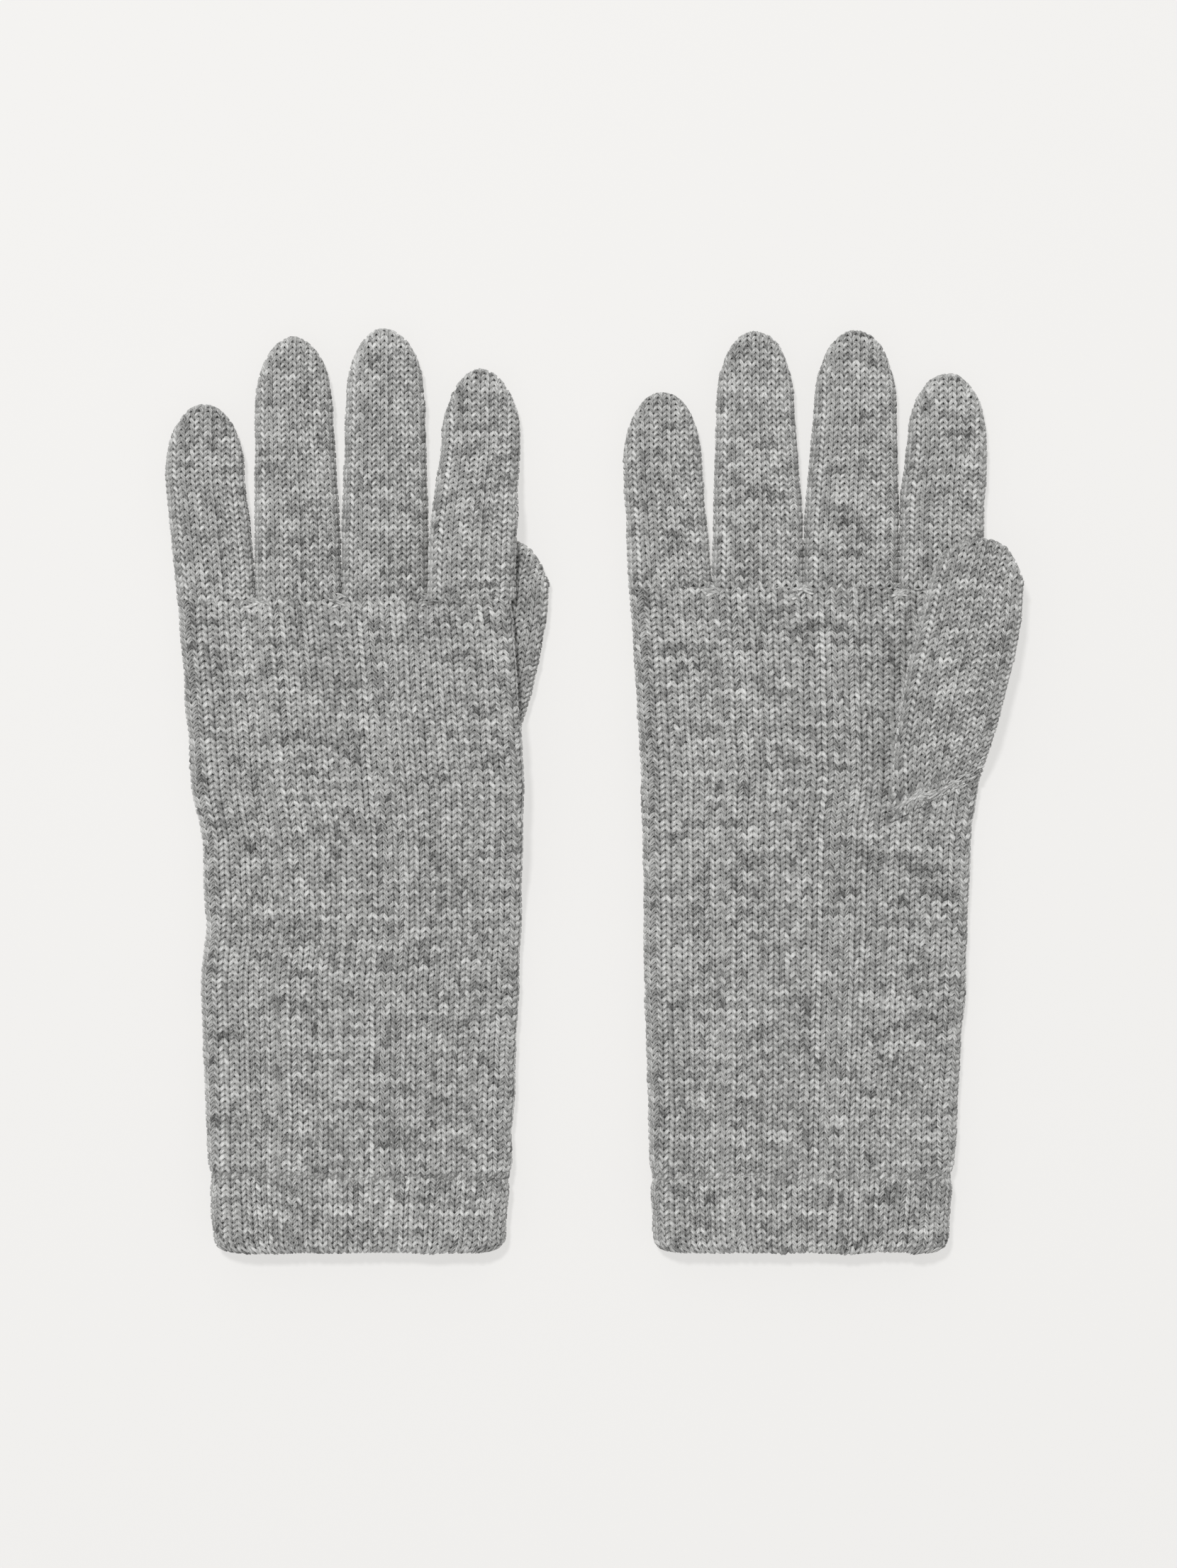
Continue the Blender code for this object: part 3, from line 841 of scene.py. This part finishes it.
class Glove:
    """One glove, all its fabric knitted in pieces that ride on the CAD part's bodies or stay fixed across its
    folds.
    """

    def __init__(self, side: Side, pair: Pair, finishes: Finishes, seed: int) -> None:
        """Reads the glove's place and size from the frame.

        Args:
            side: Which hand it is for.
            pair: What both gloves share.
            finishes: Materials.
            seed: Seed of its unevenness.
        """
        self.side = side.value
        self.pair = pair
        self.finishes = finishes
        self.seed = seed
        self.palm_up = side is Side.RIGHT
        self.crotch_y = self.high("hand").y
        self.link_y = (self.low("hem_linking_thread").y + self.high("hem_linking_thread").y) / 2
        self.wrist_y = fold_point(f"{self.side}_wrist_fold")[1]
        self.index_fold_y = fold_point(f"{self.side}_index_root_fold")[1]
        self.layer = self.high("ring_lower").z
        self.seam_middle = fold_point(f"{self.side}_thumb_root_fold")[:2]
        self.lift = no_lift
        if not self.palm_up:
            self.lift = ThumbLift(pair.thumb, tuple(self.seam_middle), pair.thumb.height + LAYER_GAP,
                                  self.crotch_y, self.index_fold_y)
        self.made = []

    def low(self, node: str) -> Vector:
        """Lowest corner of one of the glove's CAD nodes, in mm."""
        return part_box(f"{self.side}_{node}")[0] / MM

    def high(self, node: str) -> Vector:
        """Highest corner of one of the glove's CAD nodes, in mm."""
        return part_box(f"{self.side}_{node}")[1] / MM

    def finish_piece(self, piece: bpy.types.Object, body: str | tuple, replaced: tuple = ()) -> None:
        """Puts a piece on its body; a piece given two bodies is only fixed where it lies.

        Args:
            piece: The piece.
            body: The body's name without the side, or two of them.
            replaced: CAD nodes it stands for, without the side.
        """
        if isinstance(body, tuple):
            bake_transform(piece)
        else:
            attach(piece, f"{self.side}_{body}")
        if replaced:
            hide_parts(*(f"{self.side}_{node}" for node in replaced))
        self.made.append(piece.name)
        LOG.info("%s: %d faces", piece.name, len(piece.data.polygons))

    def knit_piece(self, name: str, surface: Fabric | tuple, courses: Points, yarn: Yarn,
                   material: bpy.types.Material, course_height: float | None = None) -> bpy.types.Object:
        """Knits one piece; its seed follows from how many were made before."""
        # the second material is the backing sheet in painted shade
        return knit(f"{self.side}_{name}", surface, courses, course_height or self.pair.course, yarn,
                    self.seed + 31 * len(self.made), [material, self.finishes.inside])

    def build_body(self) -> None:
        """Hand and cuff, in bands of courses."""
        sections = Sections(*(f"{self.side}_{node}" for node in ("gauntlet", "hand")))
        if not self.palm_up:
            lifted = sections.y > self.wrist_y
            sections.top[lifted] = self.layer
        crotches = tuple(self.crotch_places())
        thumb_side = self.pair.thumb.left + self.pair.thumb.tip[:1]
        dent = [np.add(point, self.seam_middle) - (0.9, 0) for point in thumb_side]
        fabric = RingFabric(sections, self.pair.round_wales, self.seed, self.lift, crotches, self.crotch_y,
                            self.link_y, tuple(dent) if self.palm_up else ())
        first = self.link_y + 0.3
        courses = np.arange(first, self.crotch_y - 0.2, self.pair.course)
        bands = [
            ("cuff_knit", first - 1, self.wrist_y - 20, Slot.WOOL, "cuff", ("gauntlet",)),
            ("wrist_knit", self.wrist_y - 20, self.wrist_y + 20, Slot.WOOL, ("hand", "cuff"), ()),
            ("hand_heel_knit", self.wrist_y + 20, self.wrist_y + 52, Slot.WOOL, "hand", ("hand",)),
            ("hand_middle_knit", self.wrist_y + 52, self.wrist_y + 84, Slot.WOOL, "hand", ()),
            ("hand_top_knit", self.wrist_y + 84, self.crotch_y + 1, Slot.WOOL, "hand", ()),
        ]
        for name, low, high, slot, body, replaced in bands:
            chosen = courses[(courses >= low) & (courses < high)]
            piece = self.knit_piece(name, fabric, chosen, self.pair.yarn, self.finishes.wool)
            middle_x = float(np.mean(fabric.edges(np.array(self.wrist_y))))
            self.finish_piece(piece, body, replaced)
        self.body_fabric = fabric
        self.top_course = float(courses[-1])

    def darn(self, name: str, fabric: Fabric, places: list, body: str | tuple) -> None:
        """Loose slanting stitches of the same yarn that close the hole where pieces of knitting meet.

        Args:
            name: Name of the piece.
            fabric: The fabric they lie on.
            places: (wale, v, wales across, mm up) of each stitch's middle and run.
            body: What they ride on.
        """
        rng = np.random.default_rng(self.seed + 700 + len(self.made))
        yarn = Yarn(leg_radius=0.42, bend_radius=0.3, flatness=0.8)
        share = np.linspace(-0.5, 0.5, 9)
        middle_a, middle_v, across, up = np.array(places).T[..., None]
        nudge = rng.normal(0, 1, (len(places), 3, 1))
        a = middle_a + across * share
        v = middle_v + up * share + 0.35 * nudge[:, 0] * np.sin(2 * math.pi * share)
        h = 0.55 + 0.25 * np.cos(math.pi * share) + 0.12 * nudge[:, 1] - 1.2 * np.abs(2 * share) ** 6
        radius = yarn.leg_radius * (1 - 0.45 * np.abs(2 * share) ** 3) * (1 + 0.12 * nudge[:, 2])
        value = melange(rng, len(places), len(share)) + 0.5
        mesh = QuadMesh()
        add_strands(mesh, fabric, np.stack([a, v, h], -1), radius, value, yarn, None, (0.0, 1.0), 0, False)
        piece = mesh.make(f"{self.side}_{name}", [self.finishes.wool])
        self.finish_piece(piece, body, ())

    def darn_crotches(self) -> None:
        """The darns where the fingers part from the hand."""
        rng = np.random.default_rng(self.seed + 650)
        places = []
        for x in self.crotch_places():
            wale = self.body_fabric.wale_at(x, self.crotch_y)
            for slant in (-1.3, 1.1, -0.7, 1.5, -1.0, 0.6):
                at = wale + rng.normal(0, 0.35)
                places.append((at, self.crotch_y - 0.9 + rng.normal(0, 0.9), 1.7, 2.2 * slant))
        self.darn("crotch_darns", self.body_fabric, places, "hand")

    def crotch_places(self) -> list[float]:
        """x of the gaps between neighbouring fingers."""
        names = [name for name, _ in self.pair.finger_wales]
        roots = [Sections(f"{self.side}_{n}_{'root' if n == 'index' else 'lower'}") for n in names]
        return [(a.right[0] + b.left[0]) / 2 for a, b in zip(roots, roots[1:])]

    def build_hem(self) -> None:
        """The folded hem and the row of linking stitches that holds it."""
        sections = Sections(f"{self.side}_hem_band")
        bottom = self.low("hem_band").y
        straight = sections.y > bottom + HemFabric.CORNER - 0.5
        sections.left = sections.left[straight]
        sections.right = sections.right[straight]
        sections.top = sections.top[straight]
        sections.y = sections.y[straight]
        fabric = HemFabric(sections, self.pair.round_wales, self.seed + 7, self.link_y - 0.3, bottom)
        count = int(fabric.length / self.pair.hem_course)
        courses = -fabric.length + (np.arange(count) + 0.5) * fabric.length / count
        piece = self.knit_piece("hem_knit", fabric, courses, self.pair.hem_yarn, self.finishes.hem,
                                fabric.length / count)
        self.finish_piece(piece, "cuff", ("hem_band", "hem_facing"))
        self.build_linking(self.body_fabric)

    def build_linking(self, fabric: RingFabric) -> None:
        """A slanting stitch of sewing yarn over every wale along the linked line, its darker grey painted
        shade of the groove.
        """
        rng = np.random.default_rng(self.seed + 500)
        yarn = Yarn(leg_radius=0.42, bend_radius=0.3, flatness=0.9)
        share = np.linspace(0, 1, 7)
        wale = np.arange(fabric.wales)[:, None]
        nudge = rng.normal(0, 1, (fabric.wales, 3))
        a = wale + 0.05 + 1.05 * share + 0.05 * nudge[:, :1]
        v = self.link_y - 0.85 + 1.7 * share + 0.12 * nudge[:, 1:2]
        h = 0.35 + 0.55 * np.sin(math.pi * share) * (1 + 0.1 * nudge[:, 2:]) - 0.2
        radius = yarn.leg_radius * (0.75 + 0.25 * np.sin(math.pi * share)) * np.ones((fabric.wales, 1))
        value = melange(rng, fabric.wales, 7)
        mesh = QuadMesh()
        add_strands(mesh, fabric, np.stack([a, v, h], -1), radius, value, yarn, None, (0.0, 1.0), 0, False)
        # the darker thread finish is painted shade of the groove
        piece = mesh.make(f"{self.side}_linking_stitches", [self.finishes.thread])
        self.finish_piece(piece, "cuff", ("hem_linking_thread",))

    def build_finger(self, name: str, wales: int) -> None:
        """One finger in three pieces, cut a little short of its middle and tip folds.

        Args:
            name: The finger.
            wales: Columns of stitches across one face.
        """
        nodes = [f"{self.side}_{name}_{part}" for part in ("lower", "mid")]
        if name == "index":
            nodes.insert(0, f"{self.side}_index_root")
        sections = Sections(*nodes)
        tip_y = self.high(f"{name}_tip").y
        width = sections.right[-1] - sections.left[-1]
        shoulder_y = tip_y - self.pair.tip_rounding * width
        foot = self.crotch_y - 12
        left_edge = self.finger_edge(name, sections, -1, foot, shoulder_y)
        right_edge = self.finger_edge(name, sections, 1, foot, shoulder_y)
        left, right = left_edge[-1, 0], right_edge[-1, 0]
        centre, half = (left + right) / 2, (right - left) / 2
        arc = np.radians(np.arange(-82.5, 83, 7.5))
        tip = np.stack([centre + half * np.sin(arc), shoulder_y + (tip_y - shoulder_y) * np.cos(arc)], -1)
        outline = np.concatenate([left_edge, tip, right_edge[::-1]])
        stations = np.unique(np.concatenate([left_edge[:, 1], right_edge[:, 1], [tip_y + 12]]))
        rails = np.stack([stations, np.interp(stations, left_edge[:, 1], left_edge[:, 0]), stations,
                          np.interp(stations, right_edge[:, 1], right_edge[:, 0]), stations], -1)
        lifted_x = sections.right[0]
        lift = self.lift if name == "index" else no_lift

        def middle_z(v: Points) -> Points:
            """Height of the finger's middle."""
            return self.layer / 2 + lift(lifted_x, v)

        def half_height(v: Points) -> Points:
            """Half the height between the layers' middles."""
            return np.full(np.shape(v), self.layer / 2 - REST_INSET)

        seed = self.seed + 60 + wales
        faces = tuple(FaceFabric(outline, rails, wales, up, middle_z, half_height, seed + up)
                      for up in (1, -1))
        folds = [fold_point(f"{self.side}_{name}_{fold}_fold")[1] for fold in ("root", "middle", "tip")]
        reach = self.pair.blend_reach
        courses = np.arange(self.top_course + self.pair.course, tip_y + 3.0, self.pair.course)
        root_blend = (self.crotch_y - 0.5, self.crotch_y + 9.5)
        if name == "index":
            root_blend = (folds[0] - reach, folds[0] + reach)
        spans = [
            ("lower", -1e9, folds[1] - reach, ("hand", f"{name}_lower"), root_blend),
            ("mid", folds[1] - reach, folds[2] - reach, (f"{name}_lower", f"{name}_mid"),
             (folds[1] - reach, folds[1] + reach)),
            ("tip", folds[2] - reach, 1e9, (f"{name}_mid", f"{name}_tip"),
             (folds[2] - reach, folds[2] + reach)),
        ]
        for part, low, high, bodies, (start, end) in spans:
            chosen = courses[(courses >= low) & (courses < high)]
            piece = self.knit_piece(f"{name}_{part}_knit", faces, chosen, self.pair.finger_yarn,
                                    self.finishes.wool)
            replaced = [f"{name}_{part}"]
            if name == "index" and part == "lower":
                replaced.append("index_root")
            self.finish_piece(piece, bodies, tuple(replaced))

    def finger_edge(self, name: str, sections: Sections, side: int, foot: float, shoulder_y: float) -> Points:
        """One side edge of a finger, which touches its neighbour up to where the two part.

        Args:
            name: The finger.
            sections: Its edges in the CAD.
            side: -1 for the left edge, 1 for the right.
            foot: y where the edge starts, inside the hand.
            shoulder_y: y where the tip starts to round.

        Returns:
            (x, y) points from the foot to the shoulder.
        """
        names = [finger for finger, _ in self.pair.finger_wales]
        gap_number = names.index(name) + (side - 1) // 2
        ends = [sections.left, sections.right][(side + 1) // 2][[0, -1]]
        slope = (ends[1] - ends[0]) / (sections.y[-1] - sections.y[0])
        ys = np.array([foot, self.crotch_y + 1, shoulder_y])
        spread = np.full(3, self.pair.outer_fuzz)
        if 0 <= gap_number < len(names) - 1:
            part_y = dict(self.pair.partings)[self.side][gap_number]
            ys = np.array([foot, part_y, shoulder_y])
            touch = 0.55 + 0.5 * abs(slope) * (part_y - self.crotch_y) * 2
            spread = np.array([0.55, touch, 0.15])
        return np.stack([ends[0] + slope * (ys - sections.y[0]) + side * spread, ys], -1)

    def build_thumb(self) -> None:
        """The thumb in two pieces: picked up along its seam in the palm, and past its fold."""
        shape = self.pair.thumb
        origin = np.array(self.seam_middle)
        left = np.array(shape.left + (tuple(np.add(shape.left[-1], shape.run_on)),)) + origin
        right = np.array(shape.right + (tuple(np.add(shape.right[-1], shape.run_on)),)) + origin
        steps = (np.hypot(*np.diff(left, axis=0).T) + np.hypot(*np.diff(right, axis=0).T)) / 2
        v_rail = np.concatenate([[0.0], np.cumsum(steps)])
        rails = np.concatenate([v_rail[:, None], left, right], 1)
        outline = self.thumb_outline(origin)
        out = 1 if self.palm_up else -1
        palm_z = self.layer if self.palm_up else shape.height + LAYER_GAP
        seam_z = palm_z - out * (REST_INSET - 0.45)
        outer_z = palm_z + out * (shape.height - REST_INSET)

        def rise(v: Points) -> Points:
            """How far the outer layer has come away from the palm, from 0 at the seam to 1."""
            return smooth(v / 15.0)

        def half_height(v: Points) -> Points:
            """Half the height between the layers' middles."""
            return np.maximum(shape.height * rise(v) / 2 - REST_INSET, 0.35)

        def middle_z(v: Points) -> Points:
            """Height of the thumb's middle, under its outer layer."""
            return seam_z + (outer_z - seam_z) * rise(v) - out * half_height(v)

        faces = tuple(FaceFabric(outline, rails, shape.wales, up, middle_z, half_height, self.seed + 90 + up)
                      for up in (1, -1))
        fold = fold_point(f"{self.side}_thumb_tip_fold")
        fold_v = float(np.interp(fold[1], (left[:, 1] + right[:, 1]) / 2, v_rail))
        reach = self.pair.blend_reach
        courses = np.arange(0.2, v_rail[-1], self.pair.course)
        seam = np.subtract(shape.right[0], shape.left[0])
        seam = seam / np.hypot(*seam)
        off = np.array([-seam[1], seam[0]])
        near, far = origin - 0.5 * off, origin + 11.0 * off
        for part, chosen, bodies, start, end in (
            ("lower", courses[courses < fold_v - reach], ("hand", "thumb_lower"), (*near, 0), (*far, 0)),
            ("tip", courses[courses >= fold_v - reach], ("thumb_lower", "thumb_tip"),
             (fold[0], fold[1] - reach, 0), (fold[0], fold[1] + reach, 0)),
        ):
            piece = self.knit_piece(f"thumb_{part}_knit", faces, chosen, self.pair.finger_yarn,
                                    self.finishes.wool)
            self.finish_piece(piece, bodies, (f"thumb_{part}",))
        rng = np.random.default_rng(self.seed + 660)
        places = [(wale, 0.5 + rng.uniform(0, 3.4), rng.uniform(1.6, 3.2), rng.normal(0.2, 0.8))
                  for wale in np.linspace(0.8, shape.wales - 1.0, 17)]
        outer = faces[0 if self.palm_up else 1]
        self.darn("thumb_seam_darns", outer, places, ("hand", "thumb_lower"))

    def thumb_outline(self, origin: Points) -> Points:
        """The thumb's outline at its outer face, run on below the seam."""
        shape = self.pair.thumb
        first_left = np.subtract(shape.left[0], (0.2, 14.0))
        first_right = np.subtract(shape.right[0], (3.4, 14.0))
        return np.array([first_left, *shape.left, *shape.tip, *shape.right[::-1], first_right]) + origin

    def build(self) -> None:
        """Knits the whole glove."""
        self.build_body()
        self.build_hem()
        self.darn_crotches()
        for name, wales in self.pair.finger_wales:
            self.build_finger(name, wales)
        self.build_thumb()


# ----------------------------------------------------------------------------------------------------- studio


@dataclass(frozen=True)
class Studio:
    """A lit white table under soft light, half of it even and half from a small lamp up and to the left."""

    table_colour: str = "#959493"
    table_size: float = 40.0  # m, so that its far edge stays out of low views
    table_drop: float = 0.0004  # m below the gloves, room for the lowest loops
    table_glow: tuple = (0.600, 0.594, 0.582)  # light that comes up through it, which keeps shadows thin
    fill: float = 0.50
    key_power: float = 17.0
    key_place: tuple = (-0.28, 0.56, 1.75)
    key_size: float = 0.20
    look_at: tuple = (-0.0011, 0.0016, 0.0)
    camera_height: float = 1.050
    lens: float = 85.0

    def build(self) -> None:
        """Table, lights and camera."""
        self.build_table()
        self.build_lights()
        self.build_camera()
        bpy.context.scene.view_settings.view_transform = "Standard"

    def build_table(self) -> None:
        """A large plain table."""
        bpy.ops.mesh.primitive_plane_add(size=self.table_size, location=(0, 0, -self.table_drop))
        table = bpy.context.object
        table.name = "table"
        material = bpy.data.materials.new("plain_table")
        material.use_nodes = True
        shader = material.node_tree.nodes["Principled BSDF"]
        shader.inputs["Base Color"].default_value = linear(self.table_colour)
        shader.inputs["Roughness"].default_value = 0.9
        shader.inputs["Specular IOR Level"].default_value = 0.0
        shader.inputs["Emission Color"].default_value = (*self.table_glow, 1.0)
        shader.inputs["Emission Strength"].default_value = 1.0
        table.data.materials.append(material)

    def build_lights(self) -> None:
        """Even light all round and a small soft light."""
        world = bpy.data.worlds.new("studio")
        world.use_nodes = True
        background = world.node_tree.nodes["Background"]
        background.inputs["Color"].default_value = (1.0, 1.0, 1.0, 1.0)
        background.inputs["Strength"].default_value = self.fill
        bpy.context.scene.world = world
        light = bpy.data.lights.new("key", "AREA")
        light.shape = "DISK"
        light.size = self.key_size
        light.energy = self.key_power
        key = bpy.data.objects.new("key", light)
        key.location = self.key_place
        key.rotation_mode = "QUATERNION"
        key.rotation_quaternion = (-Vector(self.key_place)).to_track_quat("-Z", "Y")
        bpy.context.scene.collection.objects.link(key)

    def build_camera(self) -> None:
        """A camera straight above, fingers towards the top of the picture."""
        data = bpy.data.cameras.new("camera")
        data.lens = self.lens
        data.sensor_width = 36.0
        data.clip_start, data.clip_end = 0.05, 20.0
        camera = bpy.data.objects.new("camera", data)
        camera.location = (self.look_at[0], self.look_at[1], self.camera_height)
        bpy.context.scene.collection.objects.link(camera)
        bpy.context.scene.camera = camera


def main() -> None:
    """Builds both gloves and the studio."""
    logging.basicConfig(level=logging.INFO, format="%(message)s")
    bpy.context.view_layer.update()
    finishes = Finishes.make()
    pair = Pair()
    for side, seed in ((Side.RIGHT, 1000), (Side.LEFT, 3000)):
        Glove(side, pair, finishes, seed).build()
    Studio().build()


if __name__ == "__main__":
    main()
